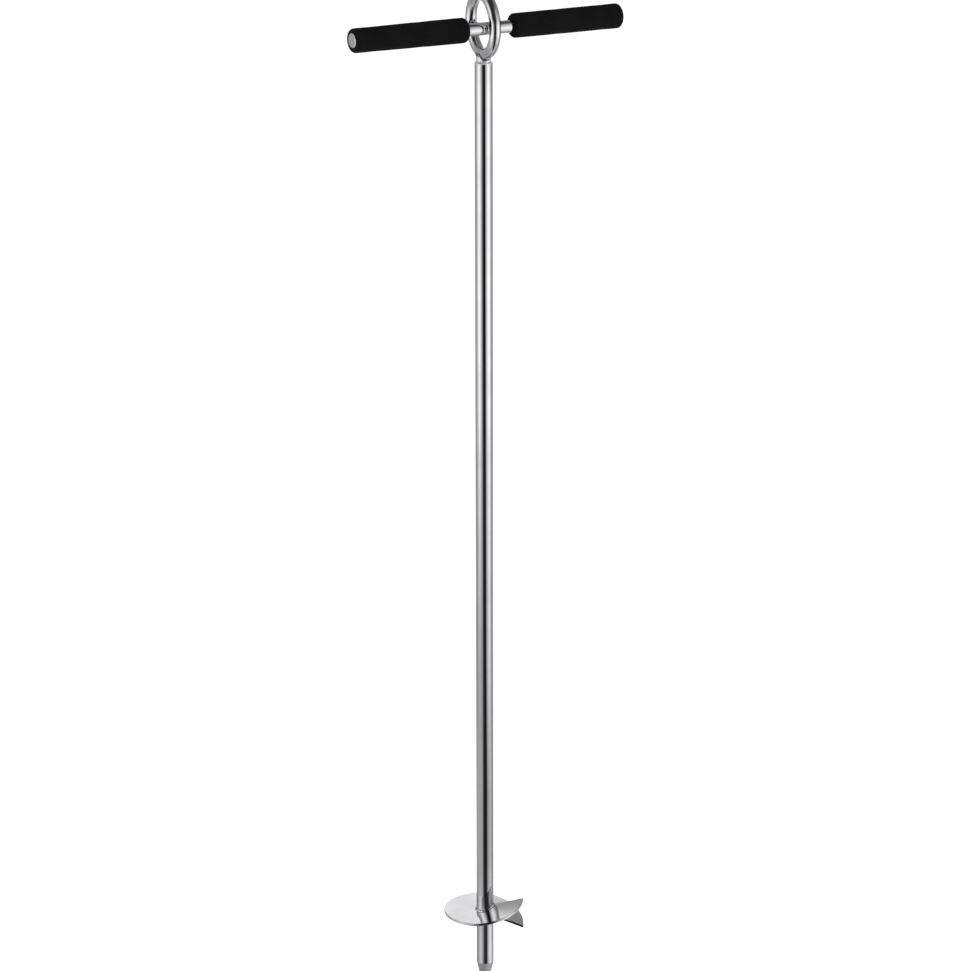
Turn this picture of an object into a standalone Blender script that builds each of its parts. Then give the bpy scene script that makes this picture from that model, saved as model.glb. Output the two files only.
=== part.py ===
"""Screw-in hand auger of polished stainless steel.

A tube shaft carries a turned point and one split, bent screw blade at its foot. A round eye is
welded to a stem in the tube's top, and a cross handle with two foam grips is held in the eye by
a short cross rod. Z runs up the shaft from the point, X runs along the handle.
"""

import math

import bmesh
import bpy
from mathutils import Matrix, Vector

MM = 0.001

# Seat clearance between neighbouring pieces
GAP = 0.3 * MM

# Shaft tube
TUBE_DIAMETER = 19.05 * MM
TUBE_WALL = 1.65 * MM
TUBE_LENGTH = 1022.0 * MM

# Turned point, with a spigot up the tube
POINT_LENGTH = 39.0 * MM
POINT_BLUNT = 1.6 * MM
POINT_SPIGOT = 30.0 * MM
SPIGOT_CHAMFER = 1.0 * MM

# Eye stem in the tube's top, and the fillet weld round it on the tube's end
STEM_DEPTH = 35.0 * MM
STEM_RISE = 11.0 * MM
STEM_WELD_HEIGHT = 3.2 * MM
STEM_WELD_TOP = 0.3 * MM

# Eye, a ring of round wire standing across the handle
EYE_BORE = 48.8 * MM
EYE_WIRE = 12.0 * MM
EYE_SEAT = 5.8 * MM
EYE_WELD = 1.7 * MM

# Cross handle
BAR_DIAMETER = 12.7 * MM
BAR_WALL = 1.65 * MM
BAR_BARE_MIDDLE = 48.6 * MM
BAR_DROP = 1.1 * MM
BAR_OFFSET = -2.3 * MM
BAR_BEHIND_EYE = 3.0 * MM

# Cross rod that carries the handle close behind the eye's front, and falls a little to its back
ROD_DIAMETER = 8.0 * MM
ROD_LIFT = 0.3 * MM
ROD_FALL = math.radians(7.8)
ROD_WELD = 1.9 * MM
ROD_FRONT_WELD = 2.6 * MM

# Plugs in the handle's ends
PLUG_HEAD_DIAMETER = 15.5 * MM
PLUG_HEAD = 2.2 * MM
PLUG_EDGE = 1.5 * MM
PLUG_SPIGOT = 14.0 * MM
PLUG_RECESS = 0.3 * MM

# Foam grips, the left one cut longer than the right by twice the unevenness
GRIP_DIAMETER = 25.4 * MM
GRIP_LENGTH = 127.6 * MM
GRIP_UNEVEN = 1.4 * MM
GRIP_ROUND = 5.0 * MM

# Screw blade, a disc slit along one radius with the lips bent up and down and drawn in
BLADE_DIAMETER = 91.2 * MM
BLADE_THICKNESS = 3.0 * MM
BLADE_HEIGHT = 102.2 * MM
BLADE_PITCH = 7.0 * MM
BLADE_WELD = 2.6 * MM
UPPER_LIP_SHAFT = 5.0 * MM
UPPER_LIP_RIM = 12.0 * MM
LOWER_LIP_SHAFT = 8.2 * MM
LOWER_LIP_RIM = 17.0 * MM
LIP_BEND = math.radians(103.0)
LIP_EASE = 1.2
LIP_DRAW = 0.06
SLIT_AZIMUTH = math.radians(-29.6)
SLIT_ANGLE = math.radians(3.0)

# Facets
SHAFT_SIDES = 48
BAR_SIDES = 40
GRIP_SIDES = 40
WIRE_SIDES = 16
EYE_SIDES = 64
ARC_STEPS = 5
BEAD_STEPS = 28
BEAD_SIDES = 8
BLADE_STEPS = 72
BLADE_RINGS = 5

# Radii and levels that follow from the sizes above
tube_radius = TUBE_DIAMETER / 2
tube_bore = tube_radius - TUBE_WALL
spigot_radius = tube_bore - GAP
tube_bottom = POINT_LENGTH + GAP
tube_top = tube_bottom + TUBE_LENGTH
wire_radius = EYE_WIRE / 2
eye_radius = EYE_BORE / 2 + wire_radius
eye_z = tube_top + EYE_SEAT + wire_radius + eye_radius
bar_radius = BAR_DIAMETER / 2
bar_bore = bar_radius - BAR_WALL
bar_y = bar_radius + BAR_BEHIND_EYE - EYE_BORE / 2
bar_z = eye_z - BAR_DROP
grip_overhang = GAP + PLUG_HEAD + PLUG_RECESS
bar_half = BAR_BARE_MIDDLE / 2 + GRIP_LENGTH - grip_overhang
rod_radius = ROD_DIAMETER / 2
rod_run = Vector((0.0, math.cos(ROD_FALL), -math.sin(ROD_FALL)))
rod_up = Vector((0.0, math.sin(ROD_FALL), math.cos(ROD_FALL)))
bar_centre = Vector((0.0, bar_y, bar_z))
eye_centre = Vector((0.0, 0.0, eye_z))
blade_radius = BLADE_DIAMETER / 2
blade_bore = tube_radius + GAP


def clear_scene():
    for obj in list(bpy.data.objects):
        bpy.data.objects.remove(obj)


def finish_material(name, colour, roughness, metallic):
    material = bpy.data.materials.new(name)
    material.use_nodes = True
    shader = material.node_tree.nodes["Principled BSDF"]
    shader.inputs["Base Color"].default_value = (*colour, 1.0)
    shader.inputs["Roughness"].default_value = roughness
    shader.inputs["Metallic"].default_value = metallic
    return material


def polished_steel(name):
    return finish_material(name + "_polished_steel", (0.62, 0.62, 0.63), 0.10, 1.0)


def turned_steel(name):
    return finish_material(name + "_turned_steel", (0.50, 0.50, 0.51), 0.30, 1.0)


def weld_steel(name):
    return finish_material(name + "_weld_metal", (0.52, 0.51, 0.50), 0.25, 1.0)


def black_foam(name):
    return finish_material(name + "_black_foam", (0.012, 0.012, 0.013), 0.90, 0.0)


def make_object(name, bm, material, smooth_angle=math.radians(35.0)):
    """Stores the bmesh as a named object with outward normals, smooth but for its sharp edges."""
    bmesh.ops.recalc_face_normals(bm, faces=bm.faces)
    if bm.calc_volume(signed=True) < 0.0:
        bmesh.ops.reverse_faces(bm, faces=bm.faces)
    mesh = bpy.data.meshes.new(name)
    bm.to_mesh(mesh)
    bm.free()
    mesh.shade_smooth()
    mesh.set_sharp_from_angle(angle=smooth_angle)
    mesh.materials.append(material)
    obj = bpy.data.objects.new(name, mesh)
    bpy.context.scene.collection.objects.link(obj)
    return obj


def as_cutter(obj):
    obj.hide_render = True
    obj.display_type = "WIRE"
    return obj


def cut(obj, cutter):
    modifier = obj.modifiers.new("cut_" + cutter.name, "BOOLEAN")
    modifier.operation = "DIFFERENCE"
    modifier.object = cutter


def arc(centre, radius, start, end, steps=ARC_STEPS):
    """Points (radius from the axis, height) along a quarter or half round of a turned profile."""
    points = []
    for i in range(steps + 1):
        angle = start + (end - start) * i / steps
        points.append((centre[0] + radius * math.cos(angle), centre[1] + radius * math.sin(angle)))
    return points


def turned_bmesh(profile, sides):
    """Spins a closed (radius, height) outline once round Z. Points on the axis become poles."""
    bm = bmesh.new()
    points = [bm.verts.new((radius, 0.0, height)) for radius, height in profile]
    edges = [bm.edges.new((points[i - 1], points[i])) for i in range(len(points))]
    bmesh.ops.spin(bm, geom=points + edges, cent=(0, 0, 0), axis=(0, 0, 1),
                   angle=math.tau, steps=sides, use_merge=True)
    bmesh.ops.remove_doubles(bm, verts=bm.verts, dist=1e-6)
    bmesh.ops.dissolve_degenerate(bm, edges=bm.edges, dist=1e-7)
    on_axis = [e for e in bm.edges if all(math.hypot(v.co.x, v.co.y) < 1e-6 for v in e.verts)]
    bmesh.ops.delete(bm, geom=on_axis, context="EDGES")
    return bm


def turned(name, profile, sides, material):
    return make_object(name, turned_bmesh(profile, sides), material)


def lay_along_x(obj, x, outward=1):
    """Turns a piece made round Z so that its top points along the handle, to the right or left."""
    obj.rotation_euler = (0.0, outward * math.pi / 2, 0.0)
    obj.location = (x, bar_y, bar_z)
    return obj


def rod_bmesh(radius, start, end, sides):
    """A plain round bar between two points."""
    bm = bmesh.new()
    run = end - start
    bmesh.ops.create_cone(bm, cap_ends=True, segments=sides, radius1=radius, radius2=radius,
                          depth=run.length)
    turn = run.to_track_quat("Z", "Y").to_matrix().to_4x4()
    bm.transform(Matrix.Translation((start + end) / 2) @ turn)
    return bm


def eye_bmesh(radius):
    """The eye's wire at the given wire radius, standing in the YZ plane."""
    bm = bmesh.new()
    bmesh.ops.create_circle(bm, cap_ends=False, segments=WIRE_SIDES, radius=radius,
                            matrix=Matrix.Translation((0.0, eye_radius, 0.0)))
    bmesh.ops.spin(bm, geom=list(bm.verts) + list(bm.edges), cent=(0, 0, 0), axis=(1, 0, 0),
                   angle=math.tau, steps=EYE_SIDES, use_merge=True)
    bmesh.ops.translate(bm, vec=(0.0, 0.0, eye_z), verts=bm.verts)
    return bm


def loft_bmesh(sections):
    """Joins equal closed sections one after the other, and caps the first and the last."""
    bm = bmesh.new()
    loops = [[bm.verts.new(point) for point in section] for section in sections]
    for first, second in zip(loops, loops[1:]):
        for i in range(len(first)):
            bm.faces.new((first[i - 1], first[i], second[i], second[i - 1]))
    bm.faces.new(loops[0])
    bm.faces.new(loops[-1])
    return bm


def weld_loop(name, path, leg, cutters):
    """A closed bead along a path, cut back by the pieces that it joins."""
    curve = bpy.data.curves.new(name + "_path", "CURVE")
    curve.dimensions = "3D"
    curve.bevel_depth = leg
    curve.bevel_resolution = (BEAD_SIDES - 4) // 2
    spline = curve.splines.new("POLY")
    spline.points.add(len(path) - 1)
    for point, place in zip(spline.points, path):
        point.co = (*place, 1.0)
    spline.use_cyclic_u = True
    guide = bpy.data.objects.new(name + "_guide", curve)
    bpy.context.scene.collection.objects.link(guide)
    bead = bmesh.new()
    bead.from_mesh(guide.to_mesh())
    bpy.data.objects.remove(guide)
    bmesh.ops.remove_doubles(bead, verts=bead.verts, dist=1e-6)
    obj = make_object(name, bead, weld_steel(name))
    for cutter in cutters:
        cut(obj, cutter)
    return obj


def shaft_tube():
    """Round tube, square cut at both ends."""
    profile = [(tube_radius, tube_top), (tube_radius, tube_bottom),
               (tube_bore, tube_bottom), (tube_bore, tube_top)]
    return turned("shaft_tube", profile, SHAFT_SIDES, polished_steel("shaft_tube"))


def point():
    """Blunt cone turned from bar, with a spigot that plugs the tube's foot."""
    spigot_top = tube_bottom + POINT_SPIGOT
    profile = [(0.0, spigot_top), (spigot_radius - SPIGOT_CHAMFER, spigot_top),
               (spigot_radius, spigot_top - SPIGOT_CHAMFER), (spigot_radius, POINT_LENGTH),
               (tube_radius, POINT_LENGTH), (POINT_BLUNT / 2, POINT_BLUNT / 4), (POINT_BLUNT / 4, 0.0),
               (0.0, 0.0)]
    return turned("point", profile, SHAFT_SIDES, turned_steel("point"))


def eye_stem(eye_cutter):
    """Short bar in the tube's top, troughed to take the eye's wire."""
    low = tube_top - STEM_DEPTH
    high = tube_top + STEM_RISE
    profile = [(0.0, high), (spigot_radius, high), (spigot_radius, low + SPIGOT_CHAMFER),
               (spigot_radius - SPIGOT_CHAMFER, low), (0.0, low)]
    obj = turned("eye_stem", profile, SHAFT_SIDES, polished_steel("eye_stem"))
    cut(obj, eye_cutter)
    return obj


def stem_weld():
    """Fillet weld between the tube's end and the stem, dressed to a cone."""
    low = tube_top + GAP
    high = low + STEM_WELD_HEIGHT
    inner = spigot_radius + GAP
    profile = [(inner + STEM_WELD_TOP, high), (tube_radius, low), (inner, low), (inner, high)]
    return turned("stem_weld", profile, SHAFT_SIDES, weld_steel("stem_weld"))


def eye_ring():
    return make_object("eye_ring", eye_bmesh(wire_radius), polished_steel("eye_ring"))


def eye_weld(cutters):
    """Bead that follows the saddle where the stem meets the underside of the eye."""
    path = []
    for i in range(BEAD_STEPS):
        angle = math.tau * i / BEAD_STEPS
        x = spigot_radius * math.cos(angle)
        y = spigot_radius * math.sin(angle)
        reach = eye_radius + math.sqrt(max(wire_radius**2 - x**2, 0.0))
        saddle = eye_z - math.sqrt(reach**2 - y**2)
        path.append((x, y, min(saddle, tube_top + STEM_RISE)))
    return weld_loop("eye_weld", path, EYE_WELD, cutters)


def handle_bar(rod_cutter):
    """Tube across the eye, drilled for the cross rod."""
    profile = [(bar_radius, bar_half), (bar_radius, -bar_half),
               (bar_bore, -bar_half), (bar_bore, bar_half)]
    obj = turned("handle_bar", profile, BAR_SIDES, polished_steel("handle_bar"))
    lay_along_x(obj, BAR_OFFSET)
    cut(obj, rod_cutter)
    return obj


def beside_rod(x, up, centre, reach, side):
    """Where a line along the rod, x and up from its axis, meets a round about a centre, front or back."""
    start = bar_centre + rod_up * (ROD_LIFT + up)
    run = (start - centre).dot(rod_run)
    away = (start - centre) - rod_run * run
    along = side * math.sqrt(max(reach**2 - away.length_squared, 0.0)) - run
    return start + rod_run * along + Vector((x, 0.0, 0.0))


def cross_rod(eye_cutter):
    """Round rod through the handle, its ends coped to the inside of the eye."""
    bm = rod_bmesh(rod_radius, rod_front, rod_back, BAR_SIDES)
    obj = make_object("cross_rod", bm, polished_steel("cross_rod"))
    cut(obj, eye_cutter)
    return obj


def rod_loops(side):
    """The two loops where the rod's side meets the eye and the handle, at the front or the back."""
    at_eye = []
    at_bar = []
    for i in range(BEAD_STEPS):
        angle = math.tau * i / BEAD_STEPS
        x = rod_radius * math.cos(angle)
        up = rod_radius * math.sin(angle)
        reach = eye_radius - math.sqrt(max(wire_radius**2 - x**2, 0.0))
        at_eye.append(beside_rod(x, up, eye_centre, reach, side))
        at_bar.append(beside_rod(x, up, bar_centre, bar_radius, side))
    return at_eye, at_bar


def rod_welds(eye_cutter, bar_cutter, rod_cutter):
    """One bead that fills the narrow front between eye and handle, and two beads at the back."""
    at_eye, at_bar = rod_loops(-1)
    middle = [(one + other) / 2 for one, other in zip(at_eye, at_bar)]
    weld_loop("rod_front_weld", middle, ROD_FRONT_WELD, [eye_cutter, bar_cutter, rod_cutter])
    at_eye, at_bar = rod_loops(1)
    weld_loop("rod_eye_weld", at_eye, ROD_WELD, [eye_cutter, rod_cutter])
    weld_loop("rod_bar_weld", at_bar, ROD_WELD, [bar_cutter, rod_cutter])


def end_plug(name, outward):
    """Turned plug with a round-edged head that covers one end of the handle."""
    head_radius = PLUG_HEAD_DIAMETER / 2
    spigot = bar_bore - GAP
    face = GAP + PLUG_HEAD
    profile = [(0.0, face)]
    profile += arc((head_radius - PLUG_EDGE, face - PLUG_EDGE), PLUG_EDGE, math.pi / 2, 0.0)
    profile += [(head_radius, GAP), (spigot, GAP), (spigot, SPIGOT_CHAMFER - PLUG_SPIGOT),
                (spigot - SPIGOT_CHAMFER, -PLUG_SPIGOT), (0.0, -PLUG_SPIGOT)]
    obj = turned(name, profile, BAR_SIDES, turned_steel(name))
    return lay_along_x(obj, BAR_OFFSET + outward * bar_half, outward)


def foam_grip(name, outward):
    """Foam sleeve on the bar, with round ends and a pocket that takes the plug's head."""
    grip_radius = GRIP_DIAMETER / 2
    bore = bar_radius + GAP
    pocket = PLUG_HEAD_DIAMETER / 2 + GAP
    end = grip_overhang
    start = end - GRIP_LENGTH + outward * GRIP_UNEVEN
    end_round = min(GRIP_ROUND, grip_radius - pocket)
    start_round = min(GRIP_ROUND, grip_radius - bore)
    profile = arc((grip_radius - end_round, end - end_round), end_round, math.pi / 2, 0.0)
    profile += arc((grip_radius - start_round, start + start_round), start_round, 0.0, -math.pi / 2)
    profile += [(bore, start), (bore, 0.0), (pocket, 0.0)]
    obj = turned(name, profile, GRIP_SIDES, black_foam(name))
    return lay_along_x(obj, BAR_OFFSET + outward * bar_half, outward)


def blade_point(radius, turn, above):
    """A point over the blade's middle, at a turn down the screw from the upper lip."""
    share = (radius - tube_radius) / (blade_radius - tube_radius)
    upper = max(1.0 - turn / LIP_BEND, 0.0) ** LIP_EASE
    lower = max(1.0 - (math.tau - turn) / LIP_BEND, 0.0) ** LIP_EASE
    height = BLADE_HEIGHT + above + BLADE_PITCH * share * (0.5 - turn / math.tau)
    height += upper * (UPPER_LIP_SHAFT + (UPPER_LIP_RIM - UPPER_LIP_SHAFT) * share)
    height -= lower * (LOWER_LIP_SHAFT + (LOWER_LIP_RIM - LOWER_LIP_SHAFT) * share)
    reach = radius * (1.0 - LIP_DRAW * share * (upper + lower))
    azimuth = SLIT_AZIMUTH - turn
    return Vector((reach * math.cos(azimuth), reach * math.sin(azimuth), height))


def blade_turns():
    """Angles from the upper lip, round under the slit, to the lower lip."""
    sweep = math.tau - SLIT_ANGLE
    return [SLIT_ANGLE / 2 + sweep * i / BLADE_STEPS for i in range(BLADE_STEPS + 1)]


def screw_blade():
    """Flat disc slit once, its two lips bent apart into one turn of a right-hand screw."""
    half = BLADE_THICKNESS / 2
    width = blade_radius - blade_bore
    radii = [blade_bore + width * i / BLADE_RINGS for i in range(BLADE_RINGS + 1)]
    sections = []
    for turn in blade_turns():
        top = [blade_point(radius, turn, half) for radius in radii]
        bottom = [blade_point(radius, turn, -half) for radius in reversed(radii)]
        sections.append(top + bottom)
    return make_object("screw_blade", loft_bmesh(sections), polished_steel("screw_blade"))


def blade_weld(name, side):
    """Fillet bead along the blade's inner edge, on its upper or its lower face."""
    clear = side * (BLADE_THICKNESS / 2 + GAP)
    outline = [(0.0, 0.0), (1.0, 0.0), (0.62, 0.36), (0.36, 0.62), (0.0, 1.0)]
    sections = []
    for turn in blade_turns():
        section = []
        for out, up in outline:
            radius = blade_bore + out * BLADE_WELD
            section.append(blade_point(radius, turn, clear + side * up * BLADE_WELD))
        sections.append(section)
    return make_object(name, loft_bmesh(sections), weld_steel(name))


clear_scene()

eye_clear = as_cutter(make_object("eye_clear", eye_bmesh(wire_radius + GAP), polished_steel("eye_clear")))
rod_front = beside_rod(0.0, 0.0, eye_centre, eye_radius, -1)
rod_back = beside_rod(0.0, 0.0, eye_centre, eye_radius, 1)
bar_way = Vector((bar_half, 0.0, 0.0))
rod_clear = as_cutter(make_object(
    "rod_clear", rod_bmesh(rod_radius + GAP, rod_front, rod_back, BAR_SIDES), polished_steel("rod_clear")))
bar_clear = as_cutter(make_object(
    "bar_clear", rod_bmesh(bar_radius + GAP, bar_centre - bar_way, bar_centre + bar_way, BAR_SIDES),
    polished_steel("bar_clear")))
stem_foot = Vector((0.0, 0.0, tube_top))
stem_head = Vector((0.0, 0.0, tube_top + STEM_RISE + GAP))
stem_clear = as_cutter(make_object(
    "stem_clear", rod_bmesh(spigot_radius + GAP, stem_foot, stem_head, SHAFT_SIDES),
    polished_steel("stem_clear")))

shaft_tube()
point()
eye_stem(eye_clear)
stem_weld()
eye_ring()
eye_weld([eye_clear, stem_clear])
handle_bar(rod_clear)
cross_rod(eye_clear)
rod_welds(eye_clear, bar_clear, rod_clear)
for word, outward in (("left", -1), ("right", 1)):
    foam_grip("grip_" + word, outward)
    end_plug("end_plug_" + word, outward)
screw_blade()
blade_weld("blade_weld_top", 1)
blade_weld("blade_weld_bottom", -1)
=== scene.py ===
from math import atan2, cos, pi, radians, sin, sqrt, tau

import bmesh
import bpy
from mathutils import Matrix, Vector


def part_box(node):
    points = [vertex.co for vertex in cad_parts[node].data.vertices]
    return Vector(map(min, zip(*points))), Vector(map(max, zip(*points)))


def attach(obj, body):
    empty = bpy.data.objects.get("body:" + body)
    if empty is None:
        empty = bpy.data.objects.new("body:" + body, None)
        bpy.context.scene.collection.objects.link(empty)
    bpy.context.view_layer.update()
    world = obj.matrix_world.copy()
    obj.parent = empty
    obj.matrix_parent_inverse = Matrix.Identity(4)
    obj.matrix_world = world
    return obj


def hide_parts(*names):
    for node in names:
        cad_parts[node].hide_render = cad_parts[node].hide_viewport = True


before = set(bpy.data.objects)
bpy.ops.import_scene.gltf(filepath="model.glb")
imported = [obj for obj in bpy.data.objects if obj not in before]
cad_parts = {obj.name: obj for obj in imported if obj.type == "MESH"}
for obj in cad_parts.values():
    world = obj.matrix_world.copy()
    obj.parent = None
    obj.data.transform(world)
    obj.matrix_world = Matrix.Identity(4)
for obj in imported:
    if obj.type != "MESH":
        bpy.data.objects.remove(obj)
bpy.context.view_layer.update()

# Shaft: a metre of round stainless tube, drawn, cut square at both ends and buffed bright.
# The point plugs its foot, the eye's stem plugs its top, and the screw is welded round it.
MM = 0.001
SHAFT_WALL = 1.65 * MM
SHAFT_RISE = 2 * MM
TUBE_SIDES = 256
CUT_EDGE = 0.2 * MM
EDGE_KEEP = 0.5 * MM
MERGE = 0.002 * MM
CREASE = radians(35)
shaft_low, shaft_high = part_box("shaft_tube")
shaft_radius = (shaft_high[0] - shaft_low[0]) / 2
shaft_foot, shaft_top = shaft_low[2], shaft_high[2] + SHAFT_RISE
shaft_bore = shaft_radius - SHAFT_WALL


def turned(outline, sides=192):
    """Spins an outline of (radius, height) corners about Z, as on a lathe."""
    bm = bmesh.new()
    corners = [bm.verts.new((radius, 0, height)) for radius, height in outline]
    for here, there in zip(corners, corners[1:]):
        bm.edges.new((here, there))
    bmesh.ops.spin(bm, geom=bm.verts[:] + bm.edges[:], cent=(0, 0, 0), axis=(0, 0, 1),
                   angle=tau, steps=sides, use_merge=True)
    bmesh.ops.remove_doubles(bm, verts=bm.verts, dist=MERGE)
    bmesh.ops.recalc_face_normals(bm, faces=bm.faces)
    return bm


def break_edges(bm, width, sharper=40, steps=2):
    """Rounds off every edge that is sharper than an angle, so that it catches the light."""
    bm.normal_update()
    sharp = [e for e in bm.edges if e.is_manifold and e.calc_face_angle() > radians(sharper)]
    bmesh.ops.bevel(bm, geom=sharp, offset=width, segments=steps, profile=0.5, affect="EDGES", material=-1)


def show(name, bm, material, slot, *nodes):
    """Makes a mesh into a shown piece that stands for its CAD nodes."""
    bmesh.ops.remove_doubles(bm, verts=bm.verts, dist=MERGE)
    bmesh.ops.recalc_face_normals(bm, faces=bm.faces)
    if bm.calc_volume(signed=True) < 0:
        bmesh.ops.reverse_faces(bm, faces=bm.faces)
    mesh = bpy.data.meshes.new(name)
    bm.to_mesh(mesh)
    bm.free()
    mesh.shade_smooth()
    mesh.set_sharp_from_angle(angle=CREASE)
    mesh.materials.append(material)
    piece = bpy.data.objects.new(name, mesh)
    bpy.context.collection.objects.link(piece)
    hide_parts(*nodes)
    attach(piece, "root")
    return piece


def linear(code):
    """An sRGB hex colour, as the linear colour that a shader takes."""
    parts = [int(code[i:i + 2], 16) / 255 for i in (0, 2, 4)]
    return [c / 12.92 if c <= 0.04045 else ((c + 0.055) / 1.055) ** 2.4 for c in parts] + [1]


def node(tree, kind, settings={}, links={}):
    """Adds a node with its settings, and links what feeds its sockets."""
    made = tree.nodes.new(kind)
    for key, value in settings.items():
        if isinstance(key, int) or key in made.inputs:
            made.inputs[key].default_value = value
        else:
            setattr(made, key, value)
    for key, source in links.items():
        tree.links.new(source, made.inputs[key])
    return made


def started(name):
    """An empty material, with its node tree and the place on the object that its patterns read."""
    material = bpy.data.materials.new(name)
    material.use_nodes = True
    tree = material.node_tree
    tree.nodes.clear()
    return material, tree, node(tree, "ShaderNodeTexCoord").outputs["Object"]


def steel(name, bright, dull, roughness, smear, mark, depth, bare=1.0):
    """Steel: smears of dull over bright, and the marks its finishing left, by size in X, Y and Z.
    Bare is how much of it shines as metal, under what a finish leaves on it."""
    material, tree, place = started(name)
    clouds = node(tree, "ShaderNodeTexNoise", {"Scale": 1 / smear, "Detail": 4.0, "Roughness": 0.6},
                  {"Vector": place})
    spread = node(tree, "ShaderNodeMapRange", {"From Min": 0.32, "From Max": 0.68},
                  {"Value": clouds.outputs[0]})
    tint = node(tree, "ShaderNodeMix", {"data_type": "RGBA", 6: linear(bright), 7: linear(dull)},
                {0: spread.outputs[0]})
    rough = node(tree, "ShaderNodeMapRange", {"To Min": roughness[0], "To Max": roughness[1]},
                 {"Value": spread.outputs[0]})
    laid = node(tree, "ShaderNodeMapping", {"Scale": [1 / side for side in mark]}, {"Vector": place})
    marks = node(tree, "ShaderNodeTexNoise", {"Scale": 1.0, "Detail": 3.0, "Roughness": 0.55},
                 {"Vector": laid.outputs[0]})
    bump = node(tree, "ShaderNodeBump", {"Strength": 1.0, "Distance": depth}, {"Height": marks.outputs[0]})
    shader = node(tree, "ShaderNodeBsdfPrincipled", {"Metallic": bare},
                  {"Base Color": tint.outputs[2], "Roughness": rough.outputs[0], "Normal": bump.outputs[0]})
    node(tree, "ShaderNodeOutputMaterial", {}, {"Surface": shader.outputs[0]})
    return material


# Stainless tube, buffed on a wheel: a grey mirror, softened by buffing rings too fine to count.
# The rings are about 0.1 mm apart and are drawn at 0.6 mm, so that a close view still shows them.
buffed_tube = steel("buffed_stainless_tube", "CCCCCE", "C2C2C4", (0.05, 0.09), 40 * MM,
                    (30 * MM, 30 * MM, 0.6 * MM), 0.0012 * MM)
bm = turned([(shaft_radius, shaft_foot), (shaft_radius, shaft_foot + EDGE_KEEP),
             (shaft_radius, shaft_top - EDGE_KEEP), (shaft_radius, shaft_top),
             (shaft_bore, shaft_top), (shaft_bore, shaft_foot), (shaft_radius, shaft_foot)], TUBE_SIDES)
break_edges(bm, CUT_EDGE)
show("shaft", bm, buffed_tube, "polished_steel", "shaft_tube")

# Point: a blunt cone turned from stainless bar, pressed into the tube's foot and left as turned.
# The tool has left fine rings on it, so it is duller than the tube.
POINT_BLUNT = 0.8 * MM
SPIGOT_FIT = 0.3 * MM
point_low, point_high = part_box("point")
spigot_radius = shaft_bore - SPIGOT_FIT
bm = turned([(0, point_high[2]), (spigot_radius, point_high[2]), (spigot_radius, shaft_foot),
             (shaft_radius - CUT_EDGE, shaft_foot), (shaft_radius, shaft_foot - CUT_EDGE),
             (POINT_BLUNT, point_low[2] + POINT_BLUNT / 2), (POINT_BLUNT / 2, point_low[2]),
             (0, point_low[2])])

# Turned stainless: satin, with a groove at every turn of the bar. A tool's feed of 0.2 mm
# is drawn at 0.7 mm to show.
turned_steel = steel("turned_stainless", "B8B8BA", "A2A2A5", (0.24, 0.34), 14 * MM,
                     (40 * MM, 40 * MM, 0.7 * MM), 0.012 * MM)
show("turned_point", bm, turned_steel, "turned_steel", "point")

# Screw: a disc of 3 mm stainless plate, slit once from rim to bore and its two lips pressed apart
# into one turn of a right-hand screw, then buffed by hand and welded to the shaft. UPPER_LIP and
# LOWER_LIP are how far each lip is pressed, at the shaft and at the rim.
PLATE = 3 * MM
PLATE_EDGE = 0.5 * MM
PLATE_RINGS = 13
PLATE_STEPS = 240
BLADE_RADIUS = 45.6 * MM
BLADE_LEVEL = 102.2 * MM
BLADE_PITCH = 7 * MM
SLIT = radians(3)
SLIT_SIDE = radians(-29.6)
LIP_BEND = radians(103)
BORE_BEND = radians(120)
LIP_EASE = 1.2
LIP_DRAW = 0.06
UPPER_LIP = 6.2 * MM, 12.0 * MM
LOWER_LIP = 8.2 * MM, 17.0 * MM


def on_blade(radius, turn, above=0):
    """A point of the screw, at a turn down from its upper lip and a height over the plate's middle."""
    share = (radius - shaft_radius) / (BLADE_RADIUS - shaft_radius)
    upper = max(1 - turn / LIP_BEND, 0) ** LIP_EASE
    lower = max(1 - (tau - turn) / LIP_BEND, 0) ** LIP_EASE
    bend = min(turn / BORE_BEND, 1)
    height = BLADE_LEVEL + above + BLADE_PITCH * share * (0.5 - turn / tau)
    height += UPPER_LIP[0] * (1 - share) * (1 - bend)**2 * (1 + 2 * bend) + UPPER_LIP[1] * share * upper
    height -= lower * (LOWER_LIP[0] + (LOWER_LIP[1] - LOWER_LIP[0]) * share)
    reach = radius * (1 - LIP_DRAW * share * (upper + lower))
    return Vector((reach * cos(SLIT_SIDE - turn), reach * sin(SLIT_SIDE - turn), height))


def corners_of(grown):
    """The corners among what an operator has made."""
    return [g for g in grown if isinstance(g, bmesh.types.BMVert)]


bm = bmesh.new()
slit_corners = shaft_radius - CUT_EDGE, BLADE_RADIUS - 2 * PLATE_EDGE, BLADE_RADIUS
bore_end, rim_start, rim = (bm.verts.new((radius, 0, 0)) for radius in slit_corners)
slit_line = bm.edges.new((bore_end, rim_start))
bm.edges.new((rim_start, rim))
bmesh.ops.subdivide_edges(bm, edges=[slit_line], cuts=PLATE_RINGS)
bmesh.ops.spin(bm, geom=bm.verts[:] + bm.edges[:], cent=(0, 0, 0), axis=(0, 0, 1),
               angle=SLIT - tau, steps=PLATE_STEPS)
for v in bm.verts:
    v.co = on_blade(v.co.xy.length, (atan2(-v.co.y, v.co.x) + SLIT / 2) % tau, PLATE / 2)
under = bmesh.ops.extrude_face_region(bm, geom=bm.faces[:])["geom"]
bmesh.ops.translate(bm, vec=(0, 0, -PLATE), verts=corners_of(under))
bmesh.ops.recalc_face_normals(bm, faces=bm.faces)
break_edges(bm, PLATE_EDGE, sharper=50, steps=3)

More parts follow.
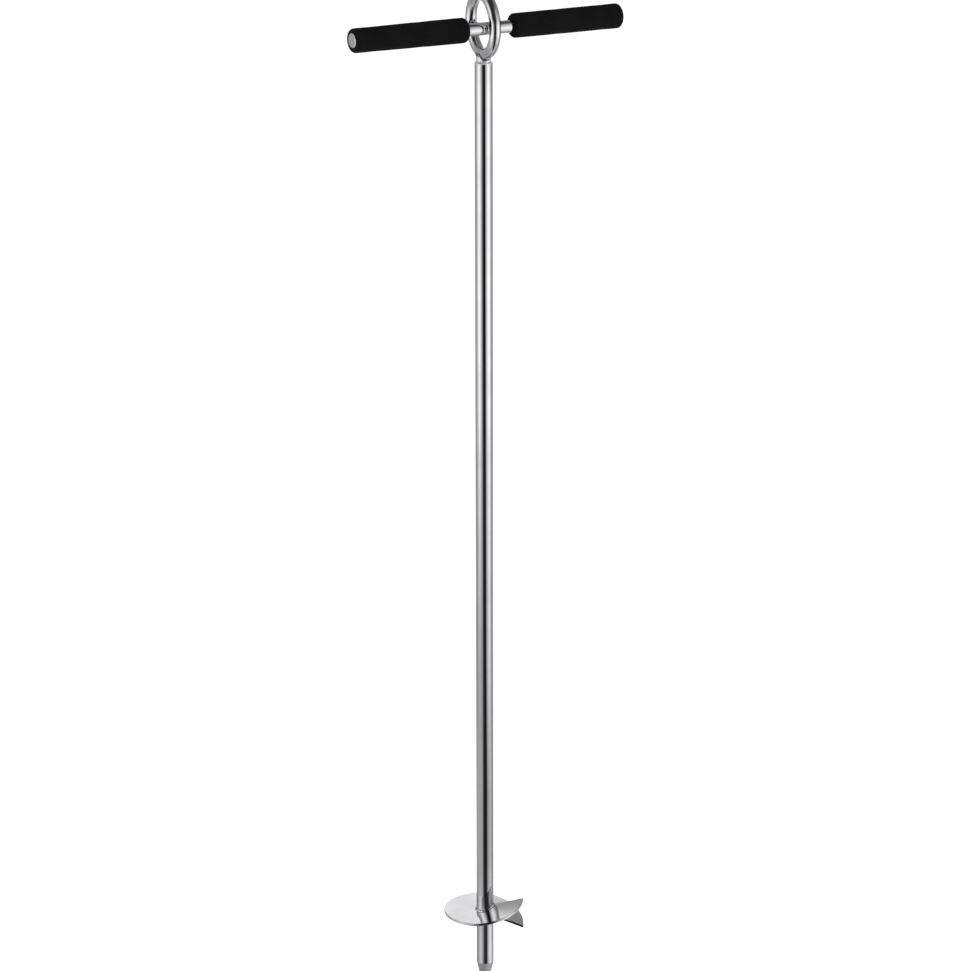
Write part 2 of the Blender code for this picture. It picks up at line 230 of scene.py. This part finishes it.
# Stainless plate, hand-buffed: as bright as the tube, but it waves a little, so that what it
# mirrors bends. The waves of the pressed plate are about 18 mm long.
buffed_plate = steel("buffed_stainless_plate", "DCDCDE", "D0D0D2", (0.03, 0.05), 25 * MM,
                     (18 * MM, 18 * MM, 18 * MM), 0.08 * MM)
show("screw", bm, buffed_plate, "polished_steel", "screw_blade")

# Screw welds: one run of filler along the plate's inner edge above and one below,
# laid by hand and brushed, so the coins of the run still show.
BLADE_BEAD = 1.6 * MM
BLADE_BEAD_STEPS = 260
COIN = 3.2 * MM
COIN_SWELL = 0.07
COIN_FLAT = 0.6


def bead(path, outward, radius, sides=20, closed=True):
    """A run of weld filler along a path, swelling at every coin, with outward pointing off its axis."""
    stations = []
    length = 0
    last = len(path) - 1
    for i, here in enumerate(path):
        before = path[i - 1] if i else path[-2 if closed else 0]
        after = path[i + 1] if i < last else path[1 if closed else last]
        length += (here - path[max(i - 1, 0)]).length
        along = (after - before).normalized()
        side = outward[i] - along * outward[i].dot(along)
        side.normalize()
        swell = 1 - COIN_SWELL * (1 - abs(sin(pi * length / COIN)) ** COIN_FLAT)
        turn = Matrix((side, along.cross(side), along)).transposed().to_4x4()
        stations.append(Matrix.Translation(here) @ turn @ Matrix.Scale(radius * swell, 4))
    bm = bmesh.new()
    bmesh.ops.create_circle(bm, segments=sides, radius=1, matrix=stations[0], cap_ends=not closed)
    rim = bm.edges[:]
    for here, there in zip(stations, stations[1:]):
        grown = bmesh.ops.extrude_edge_only(bm, edges=rim)["geom"]
        rim = [g for g in grown if isinstance(g, bmesh.types.BMEdge) and all(v in grown for v in g.verts)]
        bmesh.ops.transform(bm, matrix=there @ here.inverted(), verts=corners_of(grown))
    if not closed:
        bmesh.ops.contextual_create(bm, geom=rim)
    return bm


# Weld metal, wire-brushed: the same steel with a softer shine and a slight grain.
# The brush's scratches of 0.2 mm are drawn at 1.2 mm to show.
weld_metal = steel("dressed_weld", "C6C6C8", "B2B2B5", (0.1, 0.18), 5 * MM,
                   (1.2 * MM, 1.2 * MM, 1.2 * MM), 0.01 * MM)
for name, stands_for, face in (("screw_weld_upper", "blade_weld_top", 1),
                               ("screw_weld_lower", "blade_weld_bottom", -1)):
    turns = [SLIT / 2 + (tau - SLIT) * i / BLADE_BEAD_STEPS for i in range(BLADE_BEAD_STEPS + 1)]
    path = [on_blade(shaft_radius, turn, face * PLATE / 2) for turn in turns]
    bm = bead(path, [Vector((p.x, p.y, 0)) for p in path], BLADE_BEAD, closed=False)
    show(name, bm, weld_metal, "weld_metal", stands_for)

# Stem: a short stainless bar pressed into the tube's top, hollowed to a trough that the eye
# sits in. A fillet weld closes the step from tube to stem, and is dressed with it to one neck.
STEM_CONE = 3.0 * MM
CONE_STEPS = 16
NECK_DRESS = 0.2 * MM
WELD_PROUD = 0.03 * MM
stem_low, stem_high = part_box("eye_stem")
stem_top = stem_high[2]
bm = turned([(0, stem_low[2]), (spigot_radius, stem_low[2]), (spigot_radius, stem_low[2] + EDGE_KEEP),
             (spigot_radius, stem_top - EDGE_KEEP), (spigot_radius, stem_top), (0, stem_top)])
break_edges(bm, CUT_EDGE)
show("stem", bm, buffed_tube, "polished_steel", "eye_stem")

# Pale weld metal: the same steel with a partly matt, near-white skin and only a blurred reflection. Its
# whiteness is a painted highlight for the buffed neck's bright reflection.
# Its grain is drawn 0.5 mm wide, some ten times the real one's.
pickled_weld = steel("pickled_weld", "E2E2E4", "D4D4D6", (0.28, 0.38), 6 * MM,
                     (0.5 * MM, 0.5 * MM, 3 * MM), 0.003 * MM, bare=0.6)
neck_radius = spigot_radius + NECK_DRESS
weld_radius = shaft_radius + WELD_PROUD
outline = [(spigot_radius - CUT_EDGE, shaft_top - 2 * CUT_EDGE), (weld_radius, shaft_top - 2 * CUT_EDGE)]
for i in range(CONE_STEPS + 1):
    hollow = sin(pi / 2 * i / CONE_STEPS)
    outline.append((weld_radius - (weld_radius - neck_radius) * hollow, shaft_top + STEM_CONE * i / CONE_STEPS))
outline += [(neck_radius, stem_top), (spigot_radius - CUT_EDGE, stem_top), outline[0]]
show("stem_cone", turned(outline), pickled_weld, "weld_metal", "stem_weld")

# Eye: a ring of 12 mm stainless wire, bent round, butt-welded and ground flush, then buffed.
# It stands on edge in the stem's trough, and takes a rope or a hook.
EYE_SIDE = -0.6 * MM
WIRE_SIDES = 72
EYE_STEPS = 288
eye_low, eye_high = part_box("eye_ring")
wire_radius = (eye_high[0] - eye_low[0]) / 2
eye_radius = (eye_high[1] - eye_low[1]) / 2 - wire_radius
eye_level = (eye_high[2] + eye_low[2]) / 2
bm = bmesh.new()
bmesh.ops.create_circle(bm, segments=WIRE_SIDES, radius=wire_radius,
                        matrix=Matrix.Translation((0, eye_radius, 0)))
bmesh.ops.spin(bm, geom=bm.verts[:] + bm.edges[:], cent=(0, 0, 0), axis=(1, 0, 0),
               angle=tau, steps=EYE_STEPS, use_merge=True)
bmesh.ops.translate(bm, vec=(EYE_SIDE, 0, eye_level), verts=bm.verts)

# Stainless wire, buffed along its bend: a grey mirror with fine scratches that follow the ring.
# They are about 0.1 mm apart and are drawn at 0.8 mm to show.
buffed_wire = steel("buffed_stainless_wire", "CCCCCE", "C2C2C4", (0.05, 0.1), 30 * MM,
                    (0.8 * MM, 20 * MM, 20 * MM), 0.0012 * MM)
show("eye", bm, buffed_wire, "polished_steel", "eye_ring")

# Eye weld: a run of filler all round the stem's top, where the wire lies in its trough. It is a
# hollow fillet that runs out on the stem and on the wire.
EYE_FILLET = 1.7 * MM
FILLET_DEEP = 0.5 * MM
FILLET_STEPS = 240
FILLET_ROWS = 12
FILLET_LEAN = Vector((0.6, 0, 0.8))
bm = bmesh.new()
bmesh.ops.create_grid(bm, x_segments=FILLET_STEPS, y_segments=FILLET_ROWS, size=0.5)
for v in bm.verts:
    away = Vector((cos(tau * v.co.x), sin(tau * v.co.x), 0))
    across = v.co.y + 0.5
    corner = away * neck_radius
    reach = eye_radius + sqrt(max(wire_radius**2 - (corner.x - EYE_SIDE)**2, 0))
    corner.z = min(eye_level - sqrt(reach**2 - corner.y**2), stem_top)
    on_wire = corner + (away * FILLET_LEAN.x + Vector((0, 0, FILLET_LEAN.z))) * EYE_FILLET
    spine = Vector((0, on_wire.y, on_wire.z - eye_level)).normalized() * eye_radius
    spine += Vector((EYE_SIDE, 0, eye_level))
    on_wire = spine + (on_wire - spine).normalized() * wire_radius
    on_stem = corner - Vector((0, 0, EYE_FILLET))
    v.co = on_stem * (1 - across)**2 + corner * 2 * across * (1 - across) + on_wire * across**2
bmesh.ops.remove_doubles(bm, verts=bm.verts, dist=MERGE)
bmesh.ops.recalc_face_normals(bm, faces=bm.faces)
bmesh.ops.solidify(bm, geom=bm.faces[:], thickness=FILLET_DEEP)

# Weld metal left as welded and dull, its dark grey colour painted shade for the crease between the bright eye
# and stem.
# The grain of its skin, about 0.3 mm, is drawn at 1.2 mm to show.
stained_weld = steel("dark_weld_painted_shade", "88888B", "68686B", (0.22, 0.32), 4 * MM,
                     (1.2 * MM, 1.2 * MM, 1.2 * MM), 0.02 * MM)
show("eye_bead", bm, stained_weld, "weld_metal", "eye_weld")

# Handle bar: thin stainless tube, buffed, passed through the eye and drilled for the cross rod.
# The grips cover both its ends, which stop short of the plugs' faces.
BAR_WALL = 1.65 * MM
BAR_SWELL = 0.3 * MM
BAR_TRIM = 2.5 * MM
bar_low, bar_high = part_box("handle_bar")
bar_radius = (bar_high[2] - bar_low[2]) / 2 + BAR_SWELL
bar_bore = bar_radius - BAR_WALL
bar_half = (bar_high[0] - bar_low[0]) / 2 - BAR_TRIM
bar_centre = (Vector(bar_low) + Vector(bar_high)) / 2 - Vector((0, 0, BAR_SWELL))
bm = turned([(bar_radius, -bar_half), (bar_radius, EDGE_KEEP - bar_half),
             (bar_radius, bar_half - EDGE_KEEP), (bar_radius, bar_half),
             (bar_bore, bar_half), (bar_bore, -bar_half), (bar_radius, -bar_half)], TUBE_SIDES)
break_edges(bm, CUT_EDGE)
bmesh.ops.transform(bm, matrix=Matrix.Translation(bar_centre) @ Matrix.Rotation(pi / 2, 4, "Y"),
                    verts=bm.verts)

# Stainless bar, buffed as the shaft is: a grey mirror with buffing rings across it.
# The rings are about 0.1 mm apart and are drawn at 0.6 mm to show.
buffed_bar = steel("buffed_stainless_bar", "CCCCCE", "C2C2C4", (0.05, 0.09), 40 * MM,
                   (0.6 * MM, 30 * MM, 30 * MM), 0.0012 * MM)
show("bar", bm, buffed_bar, "polished_steel", "handle_bar")

# Cross rod: an 8 mm stainless rod through the bar, from the eye's front down a little to its back.
# It holds the bar close behind the eye's front, and is welded wherever it leaves a piece.
ROD_LIFT = 0.3 * MM
ROD_FALL = radians(7.8)
ROD_SIDES = 128
rod_low, rod_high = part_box("cross_rod")
rod_radius = (rod_high[0] - rod_low[0]) / 2
rod_run = Vector((0, cos(ROD_FALL), -sin(ROD_FALL)))
rod_up = Vector((0, sin(ROD_FALL), cos(ROD_FALL)))
eye_centre = Vector((0, 0, eye_level))


def along_rod(x, up, centre, reach, side):
    """Where a line beside the rod's axis comes out of, or meets, a round about a centre."""
    start = Vector((0, bar_centre.y, bar_centre.z + BAR_SWELL)) + rod_up * (ROD_LIFT + up)
    run = (start - centre).dot(rod_run)
    away = start - centre - rod_run * run
    return start + rod_run * (side * sqrt(reach**2 - away.length_squared) - run) + Vector((x, 0, 0))


rod_front = along_rod(0, 0, eye_centre, eye_radius, -1)
rod_back = along_rod(0, 0, eye_centre, eye_radius, 1)
rod_half = (rod_back - rod_front).length / 2
bm = turned([(0, -rod_half), (rod_radius, -rod_half), (rod_radius, rod_half), (0, rod_half)], ROD_SIDES)
bmesh.ops.transform(bm, matrix=Matrix.Translation((rod_front + rod_back) / 2)
                    @ Matrix.Rotation(-pi / 2 - ROD_FALL, 4, "X"), verts=bm.verts)
show("rod", bm, buffed_wire, "polished_steel", "cross_rod")

# Cross rod welds: a thick run that fills the narrow front between eye and bar, and two small
# runs at the back, one where the rod leaves the bar and one at its end in the eye.
EYE_BEAD = 0.5 * MM
BAR_BEAD = 1.2 * MM
FRONT_BEAD = 2.5 * MM
ROD_BEAD_STEPS = 160
bar_axis = Vector((0, bar_centre.y, bar_centre.z))
for name, side, radius in (("front", -1, FRONT_BEAD), ("eye", 1, EYE_BEAD), ("bar", 1, BAR_BEAD)):
    path = []
    for i in range(ROD_BEAD_STEPS + 1):
        turn = tau * i / ROD_BEAD_STEPS
        x, up = rod_radius * cos(turn), rod_radius * sin(turn)
        in_eye = along_rod(x, up, eye_centre, eye_radius - sqrt(wire_radius**2 - x**2), side)
        on_bar = along_rod(x, up, bar_axis, bar_radius, side)
        path.append({"front": (in_eye + on_bar) / 2, "eye": in_eye, "bar": on_bar}[name])
    middle = sum(path, Vector()) / len(path)
    bm = bead(path, [p - middle for p in path], radius)
    show("rod_bead_" + name, bm, weld_metal, "weld_metal", "rod_" + name + "_weld")

# Grips: two sleeves of black closed-cell foam, cut by hand from a long tube and pushed over the
# bar, so that they are a little uneven. Each outer end is rounded over the plug's head, and the
# left one is cut out of square. GRIP_SHAPE gives the radii and rounds of outer and inner end.
GRIP_SHAPE = {"left": (12.5 * MM, 13.1 * MM, 3.0 * MM, 6.0 * MM),
              "right": (12.9 * MM, 12.75 * MM, 5.0 * MM, 5.0 * MM)}
GRIP_SIDES = 96
GRIP_RINGS = 48
ROUND_STEPS = 12
LIP_STEPS = 8
GRIP_HUG = 0.2 * MM
GRIP_LIP = 0.9 * MM
GRIP_WAVE = 0.05 * MM
LONG_WAVE, SHORT_WAVE, WAVE_SHIFT = 7 * MM, 4.1 * MM, 1.3
END_TRIM = {"left": 1.9 * MM, "right": 1.2 * MM}
END_SKEW = {"left": 0.11, "right": 0}
ENDS = ("left", -1), ("right", 1)
SKEW_FROM = 12 * MM
SKEW_EASE = 6 * MM
PLUG_POCKET = 4 * MM
plug_low, plug_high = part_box("end_plug_left")
plug_radius = (plug_high[2] - plug_low[2]) / 2
grip_bore = bar_radius - GRIP_HUG

# Nitrile foam: black, dry and matt, with a skin of open cells about 0.35 mm wide, drawn at 0.7 mm.
# Lumps of 3 mm and a little dust break up the black.
foam, tree, place = started("black_nitrile_foam")
cells = node(tree, "ShaderNodeTexVoronoi", {"Scale": 1 / (0.7 * MM)}, {"Vector": place})
lumps = node(tree, "ShaderNodeTexNoise", {"Scale": 1 / (3 * MM), "Detail": 5.0, "Roughness": 0.65},
             {"Vector": place})
dust = node(tree, "ShaderNodeTexNoise", {"Scale": 1 / (28 * MM), "Detail": 3.0}, {"Vector": place})
skin = node(tree, "ShaderNodeMath", {"operation": "ADD"},
            {0: cells.outputs["Distance"], 1: lumps.outputs[0]})
bump = node(tree, "ShaderNodeBump", {"Strength": 0.8, "Distance": 0.25 * MM}, {"Height": skin.outputs[0]})
greyed = node(tree, "ShaderNodeMapRange", {"From Min": 0.35, "From Max": 0.7}, {"Value": dust.outputs[0]})
tint = node(tree, "ShaderNodeMix", {"data_type": "RGBA", 6: linear("08080A"), 7: linear("0E0E0F")},
            {0: greyed.outputs[0]})
dry = node(tree, "ShaderNodeMapRange", {"To Min": 0.82, "To Max": 0.95}, {"Value": lumps.outputs[0]})
shader = node(tree, "ShaderNodeBsdfPrincipled", {"Specular IOR Level": 0.15},
              {"Base Color": tint.outputs[2], "Roughness": dry.outputs[0], "Normal": bump.outputs[0]})
node(tree, "ShaderNodeOutputMaterial", {}, {"Surface": shader.outputs[0]})


def quarter(steps):
    """The angles of a quarter round, in equal steps."""
    return [pi / 2 * i / steps for i in range(steps + 1)]


for name, outward in ENDS:
    outer, inner, outer_round, inner_round = GRIP_SHAPE[name]
    grip_low, grip_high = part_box("grip_" + name)
    grip_half = (grip_high[0] - grip_low[0]) / 2
    grip_end = grip_half - END_TRIM[name]
    plain = grip_half + grip_end - inner_round - outer_round
    outline = [(grip_bore, -grip_half)]
    outline += [(inner - inner_round * (1 - sin(angle)), inner_round * (1 - cos(angle)) - grip_half)
                for angle in quarter(ROUND_STEPS)]
    outline += [(inner + (outer - inner) * i / GRIP_RINGS, inner_round - grip_half + plain * i / GRIP_RINGS)
                for i in range(1, GRIP_RINGS)]
    outline += [(outer - outer_round * (1 - cos(angle)), grip_end - outer_round * (1 - sin(angle)))
                for angle in quarter(ROUND_STEPS)]
    outline = [corner for corner in outline if corner[1] < 0 or corner[0] > plug_radius + GRIP_LIP]
    outline += [(plug_radius + GRIP_LIP * (1 - sin(angle)), grip_end - 2 * GRIP_LIP * (1 - cos(angle)))
                for angle in quarter(LIP_STEPS)]
    outline += [(plug_radius, grip_end - PLUG_POCKET), (grip_bore, grip_end - PLUG_POCKET),
                (grip_bore, -grip_half)]
    bm = turned(outline, GRIP_SIDES)
    for v in bm.verts:
        v.co.z += END_SKEW[name] * v.co.y * min(max(v.co.z - grip_end + SKEW_FROM, 0) / SKEW_EASE, 1)
        if v.co.xy.length > inner - inner_round:
            wave = sin(v.co.z / LONG_WAVE) + sin(v.co.z / SHORT_WAVE + WAVE_SHIFT)
            v.co.xy *= 1 + GRIP_WAVE * wave / v.co.xy.length
    stand = Matrix.Translation((Vector(grip_low) + Vector(grip_high)) / 2)
    bmesh.ops.transform(bm, matrix=stand @ Matrix.Rotation(outward * pi / 2, 4, "Y"), verts=bm.verts)
    piece = show("foam_grip_" + name, bm, foam, "black_foam", "grip_" + name)

# End plugs: turned stainless plugs pressed into the bar's ends, with a flat head and a round edge.
# Each is faced with its bar, so the left one follows a cut that is not quite square.
PLUG_EDGE = 1.0 * MM
PLUG_PROUD = 0.5 * MM
PLUG_LIFT = 2 * BAR_SWELL
PLUG_SIDES = 128

# Faced stainless: a pale satin disc, duller than the bar. The facing tool's marks, about 0.1 mm
# apart, are drawn at 0.7 mm to show.
faced_steel = steel("faced_stainless", "D2D2D4", "C0C0C2", (0.16, 0.26), 5 * MM,
                    (20 * MM, 0.7 * MM, 0.7 * MM), 0.006 * MM)
for name, outward in ENDS:
    plug_low, plug_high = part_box("end_plug_" + name)
    face = (plug_high[0] if outward > 0 else -plug_low[0]) + PLUG_PROUD - END_TRIM[name]
    tail = plug_low[0] if outward > 0 else -plug_high[0]
    bar_end = bar_half + outward * bar_centre.x - END_TRIM[name]
    bm = turned([(0, face), (plug_radius - PLUG_EDGE - CUT_EDGE, face), (plug_radius, face),
                 (plug_radius, bar_end), (bar_bore, bar_end), (bar_bore, tail), (0, tail)], PLUG_SIDES)
    break_edges(bm, PLUG_EDGE, sharper=60, steps=6)
    for v in bm.verts:
        v.co.z += END_SKEW[name] * v.co.y * (v.co.z > bar_end - CUT_EDGE)
    bmesh.ops.transform(bm, matrix=Matrix.Translation((0, bar_centre.y, bar_centre.z + PLUG_LIFT))
                        @ Matrix.Rotation(outward * pi / 2, 4, "Y"), verts=bm.verts)
    show("plug_" + name, bm, faced_steel, "turned_steel", "end_plug_" + name)

# Floor: a wide sheet of white studio paper, laid flat under the point.
# It shows white to the camera and in the steel, and takes the object's own soft shadow.
FLOOR_HALF = 12
PAPER_GLOW = 0.5


def studio_sheet(name, bm, material):
    """Makes a mesh into a sheet of the studio, which is no piece of the object."""
    mesh = bpy.data.meshes.new(name)
    bm.to_mesh(mesh)
    bm.free()
    mesh.materials.append(material)
    sheet = bpy.data.objects.new(name, mesh)
    bpy.context.collection.objects.link(sheet)
    return sheet


def looked_at(tree):
    """1 where the camera looks, straight or by way of steel or glass, and 0 for light on other things."""
    ray = node(tree, "ShaderNodeLightPath")
    seen = node(tree, "ShaderNodeMath", {"operation": "MAXIMUM"},
                {0: ray.outputs["Is Camera Ray"], 1: ray.outputs["Is Glossy Ray"]})
    seen = node(tree, "ShaderNodeMath", {"operation": "MAXIMUM"},
                {0: seen.outputs[0], 1: ray.outputs["Is Transmission Ray"]})
    return seen.outputs[0]


# Studio paper: matt white with a faint cloud of fibres about 6 mm across.
paper, tree, place = started("white_studio_paper")
fibre = node(tree, "ShaderNodeTexNoise", {"Scale": 1 / (6 * MM), "Detail": 3.0}, {"Vector": place})
tint = node(tree, "ShaderNodeMix", {"data_type": "RGBA", 6: linear("F6F6F6"), 7: linear("F2F2F2")},
            {0: fibre.outputs[0]})
matt = node(tree, "ShaderNodeBsdfDiffuse", {}, {"Color": tint.outputs[2]})
lift = node(tree, "ShaderNodeMath", {"operation": "MULTIPLY", 1: PAPER_GLOW}, {0: looked_at(tree)})
glow = node(tree, "ShaderNodeEmission", {}, {"Strength": lift.outputs[0]})
both = node(tree, "ShaderNodeAddShader", {}, {0: matt.outputs[0], 1: glow.outputs[0]})
node(tree, "ShaderNodeOutputMaterial", {}, {"Surface": both.outputs[0]})
bm = bmesh.new()
bmesh.ops.create_grid(bm, x_segments=8, y_segments=8, size=FLOOR_HALF)
studio_sheet("paper_floor", bm, paper)

# Light tent: a round wall about the object, brighter on both sides and with a dark slit for the lens,
# a dark roof and a grey floor sheet. They glow, light nothing, and only the steel sees them, so their glow
# is painted reflection. Each list gives the glow round the object, by degrees to the right of the lens.
CAMERA_SIDE = radians(24.2)
TENT = 2.6
TENT_SIDES = 180
ROOF = 4.2
CLOTH_LIFT = 2 * MM
GLOW = 1.8
WALL_LOW = ((-180, 1.06), (-172, 1.02), (-162, 0.7), (-148, 0.5), (-128, 0.48), (-110, 0.54), (-90, 0.9),
            (-73, 1.55), (-66, 1.7), (-58, 1.65), (-45, 1.2), (-35, 0.9), (-26, 0.5), (-17, 0.14),
            (-8, 0.02), (15, 0.01), (18, 0.1), (23, 0.5), (29, 0.77), (36, 0.98), (45, 1.42), (57, 1.72),
            (66, 1.75), (73, 1.65), (90, 1.0), (110, 0.45), (130, 0.46), (148, 0.5), (162, 0.65),
            (172, 0.95), (180, 1.06))
WALL_HIGH = ((-180, 0.42), (-150, 0.42), (-125, 0.5), (-105, 0.9), (-90, 1.5), (-70, 1.5), (-57, 0.9),
             (-46, 0.2), (-34, 0.05), (0, 0.03), (22, 0.05), (33, 0.25), (42, 0.65), (50, 1.1), (58, 1.25),
             (66, 1.0), (78, 0.85), (100, 0.62), (120, 0.36), (150, 0.33), (165, 0.38), (180, 0.42))
WALL_TOP = ((-180, 0.28), (-120, 0.22), (-90, 0.25), (-70, 0.1), (-45, 0.03), (0, 0.03), (26, 0.08),
            (40, 0.35), (50, 0.6), (62, 0.6), (76, 0.45), (100, 0.3), (125, 0.3), (180, 0.28))
ROOF_SIDE = ((-180, 0.2), (-120, 0.1), (-60, 0.03), (20, 0.03), (45, 0.15), (65, 0.22), (100, 0.18),
             (180, 0.2))
ROOF_MIDDLE = ((-180, 0.05), (180, 0.05))
FLOOR_POINT = ((-180, 0.5), (-60, 0.52), (0, 0.5), (60, 0.8), (180, 0.5))
FLOOR_NEAR = ((-180, 0.45), (-120, 0.41), (-97, 0.52), (-78, 0.72), (-62, 0.92), (-46, 0.79), (-32, 0.56),
              (-18, 0.23), (-8, 0.05), (9, 0.02), (20, 0.04), (28, 0.2), (36, 0.48), (51, 0.89), (66, 1.35),
              (83, 1.12), (103, 0.71), (128, 0.45), (180, 0.45))
FLOOR_MIDDLE = ((-180, 0.6), (-110, 0.56), (-73, 0.62), (-45, 0.58), (-33, 0.55), (-25, 0.25), (-12, 0.03),
                (14, 0.01), (25, 0.06), (35, 0.36), (45, 0.48), (57, 0.62), (72, 0.8), (90, 0.65),
                (110, 0.46), (135, 0.42), (180, 0.6))
FLOOR_FAR = ((-180, 0.6), (-110, 0.42), (-90, 0.55), (-73, 0.72), (-58, 0.62), (-45, 0.55), (-35, 0.47),
             (-26, 0.4), (-19, 0.1), (-8, 0.02), (18, 0.02), (26, 0.32), (35, 0.72), (45, 0.75), (57, 1.1),
             (72, 1.25), (90, 0.65), (110, 0.45), (180, 0.6))


def cloth(name, upright, *bands):
    """A glowing sheet of painted reflection, its brightness round the object given by lists, each at a height
    or a distance.
    """
    material, tree, place = started(name)
    turned_round = node(tree, "ShaderNodeMapping", {"Rotation": (0, 0, CAMERA_SIDE)}, {"Vector": place})
    split = node(tree, "ShaderNodeSeparateXYZ", {}, {0: turned_round.outputs[0]})
    towards = node(tree, "ShaderNodeMath", {"operation": "MULTIPLY", 1: -1.0}, {0: split.outputs["Y"]})
    angle = node(tree, "ShaderNodeMath", {"operation": "ARCTAN2"},
                 {0: split.outputs["X"], 1: towards.outputs[0]})
    around = node(tree, "ShaderNodeMapRange", {"From Min": -pi, "From Max": pi}, {"Value": angle.outputs[0]})
    flat = node(tree, "ShaderNodeVectorMath", {"operation": "MULTIPLY", 1: (1, 1, 0)}, {0: place})
    out = node(tree, "ShaderNodeVectorMath", {"operation": "LENGTH"}, {0: flat.outputs[0]})
    along = split.outputs["Z"] if upright else out.outputs["Value"]
    shade = below = None
    for level, stops in bands:
        ramp = node(tree, "ShaderNodeValToRGB", {}, {0: around.outputs[0]})
        while len(ramp.color_ramp.elements) < len(stops):
            ramp.color_ramp.elements.new(0.5)
        for stop, (degrees, glow) in zip(ramp.color_ramp.elements, stops):
            stop.position = (degrees + 180) / 360
            stop.color = [glow / GLOW] * 3 + [1]
        band = ramp.outputs[0]
        if shade:
            share = node(tree, "ShaderNodeMapRange", {"From Min": below, "From Max": level}, {"Value": along})
            band = node(tree, "ShaderNodeMix", {"data_type": "RGBA"},
                        {0: share.outputs[0], 6: shade, 7: band}).outputs[2]
        shade, below = band, level
    lit = node(tree, "ShaderNodeEmission", {"Strength": GLOW}, {"Color": shade})
    node(tree, "ShaderNodeOutputMaterial", {}, {"Surface": lit.outputs[0]})
    return material


# Tent sheets: each glows evenly by its lists, with no weave, as painted reflection in the steel.
white_cloth = cloth("white_cloth", True, (1.2, WALL_LOW), (1.9, WALL_HIGH), (3.4, WALL_TOP))
grey_cloth = cloth("grey_cloth", False, (0.045, FLOOR_POINT), (0.075, FLOOR_NEAR), (0.17, FLOOR_NEAR),
                   (0.36, FLOOR_MIDDLE), (0.6, FLOOR_MIDDLE), (1.0, FLOOR_FAR), (2.4, WALL_LOW))
dark_cloth = cloth("dark_cloth", False, (1.2, ROOF_MIDDLE), (2.0, ROOF_SIDE))
for name, material, level in (("tent_wall", white_cloth, 0), ("tent_floor", grey_cloth, CLOTH_LIFT),
                              ("tent_roof", dark_cloth, ROOF)):
    upright = name == "tent_wall"
    bm = bmesh.new()
    bmesh.ops.create_circle(bm, cap_ends=not upright, cap_tris=True, segments=TENT_SIDES, radius=TENT)
    bmesh.ops.translate(bm, vec=(0, 0, level), verts=bm.verts)
    if upright:
        wall = bmesh.ops.extrude_edge_only(bm, edges=bm.edges[:])["geom"]
        bmesh.ops.translate(bm, vec=(0, 0, ROOF), verts=corners_of(wall))
    sheet = studio_sheet(name, bm, material)
    # Only the steel's reflections see these sheets: their glow is painted reflection, not light.
    sheet.visible_camera = sheet.visible_diffuse = sheet.visible_shadow = False
    sheet.visible_transmission = sheet.visible_volume_scatter = False

# Light: white all round, and two large soft boxes high on the left and the right, at a plain level.
# The steel sees the tent's painted reflections in their place.
WORLD_LIGHT = 0.6
BOX_SIZE = 1.6
BOX_POWER = 60
BOX_AIM = Vector((0, 0, 0.6))
world = bpy.data.worlds.new("white_studio")
bpy.context.scene.world = world
world.use_nodes = True
tree = world.node_tree
tree.nodes.clear()
level = node(tree, "ShaderNodeMapRange", {"To Min": WORLD_LIGHT, "To Max": 1.0}, {"Value": looked_at(tree)})
sky = node(tree, "ShaderNodeBackground", {"Color": (1, 1, 1, 1)}, {"Strength": level.outputs[0]})
node(tree, "ShaderNodeOutputWorld", {}, {"Surface": sky.outputs[0]})
for name, place in (("soft_box_left", (-2.6, -1.2, 2.8)), ("soft_box_right", (2.0, -2.2, 2.8))):
    lamp = bpy.data.lights.new(name, "AREA")
    lamp.shape = "SQUARE"
    lamp.size = BOX_SIZE
    lamp.energy = BOX_POWER
    box = bpy.data.objects.new(name, lamp)
    box.location = place
    box.rotation_euler = (BOX_AIM - Vector(place)).to_track_quat("-Z", "Y").to_euler()
    box.visible_glossy = False
    bpy.context.collection.objects.link(box)

# Camera: a long lens above and a little to the left of the handle, framed as the photograph is.
# LENS is its focal length in pixels of the frame.
FRAME_WIDTH = 970
LENS = 3700
SENSOR = 36
PITCH = radians(19.021)
YAW = radians(0.011)
ROLL = radians(-0.094)
DISTANCE = 3746.9 * MM
HEIGHT = 1893.9 * MM
lens = bpy.data.cameras.new("camera")
lens.sensor_fit = "HORIZONTAL"
lens.sensor_width = SENSOR
lens.lens = LENS * SENSOR / FRAME_WIDTH
lens.clip_end = 100
camera = bpy.data.objects.new("camera", lens)
camera.matrix_world = (Matrix.Rotation(-CAMERA_SIDE, 4, "Z") @ Matrix.Translation((0, -DISTANCE, HEIGHT))
                       @ Matrix.Rotation(-YAW, 4, "Z") @ Matrix.Rotation(pi / 2 - PITCH, 4, "X")
                       @ Matrix.Rotation(ROLL, 4, "Z"))
bpy.context.collection.objects.link(camera)
bpy.context.scene.camera = camera
bpy.context.scene.view_settings.view_transform = "Standard"

# Size: the scene is brought up to date.
bpy.context.view_layer.update()
